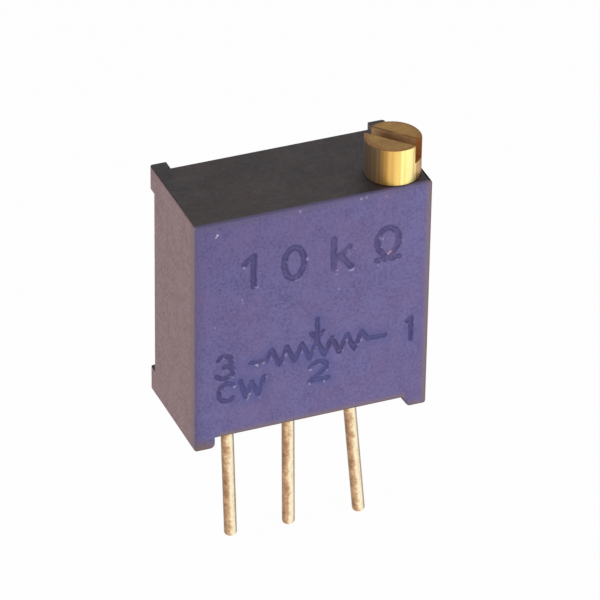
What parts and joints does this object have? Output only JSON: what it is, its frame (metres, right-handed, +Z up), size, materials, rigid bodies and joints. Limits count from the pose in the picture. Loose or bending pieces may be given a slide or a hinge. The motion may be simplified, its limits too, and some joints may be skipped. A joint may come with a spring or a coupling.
{
  "type": "trimmer potentiometer",
  "caption": "Square multi-turn trimmer potentiometer with a slotted brass adjusting screw on top and in-line round leads below",
  "frame": {"origin": "on the seating plane under the two feet, at the axis of the middle lead", "axes": "+X right along the row of leads toward the adjusting screw, +Y to the back away from the marked front face, +Z up toward the screw head"},
  "size_m": [0.0096, 0.0048, 0.0178],
  "materials": {
    "body_plastic": "matte moulded",
    "epoxy": "cast, slightly glossy",
    "alumina": "fired ceramic",
    "resistor_film": "fired film",
    "silver_film": "fired film",
    "lead_wire": "tinned wire",
    "solder": "satin",
    "screw_brass": "turned",
    "clip_steel": "stamped",
    "ring_rubber": "moulded",
    "wheel_nylon": "moulded",
    "rotor_nylon": "moulded",
    "spring_alloy": "stamped spring",
    "brush_alloy": "drawn wire"
  },
  "bodies": {
    "case": {"housing": "body_plastic", "potting": "epoxy", "ceramic_substrate": "alumina", "resistive_track": "resistor_film", "collector_track": "silver_film", "end_pad_1": "silver_film", "end_pad_3": "silver_film", "lead_1": "lead_wire", "lead_2": "lead_wire", "lead_3": "lead_wire", "solder_1": "solder", "solder_2": "solder", "solder_3": "solder", "retaining_clip": "clip_steel"},
    "screw": {"adjusting_screw": "screw_brass", "o_ring": "ring_rubber"},
    "rotor": {"worm_wheel": "wheel_nylon", "clutch_rotor": "rotor_nylon", "wiper_carrier": "spring_alloy", "wiper_brush": "brush_alloy"}
  },
  "joints": [
    {"name": "screw_turn", "type": "hinge", "parent": "case", "child": "screw", "pos_m": [0.0036, -0.00121, 0.0105], "axis": [0, 0, -1], "range_deg": [-4500, 4500]},
    {"name": "rotor_turn", "type": "hinge", "parent": "case", "child": "rotor", "pos_m": [-0.00028, -0.00121, 0.0051], "axis": [0, -1, 0], "range_deg": [-140.62, 140.62]}
  ],
  "couplings": [
    {"joint": "rotor_turn", "follows": "screw_turn", "ratio": 0.03125}
  ]
}
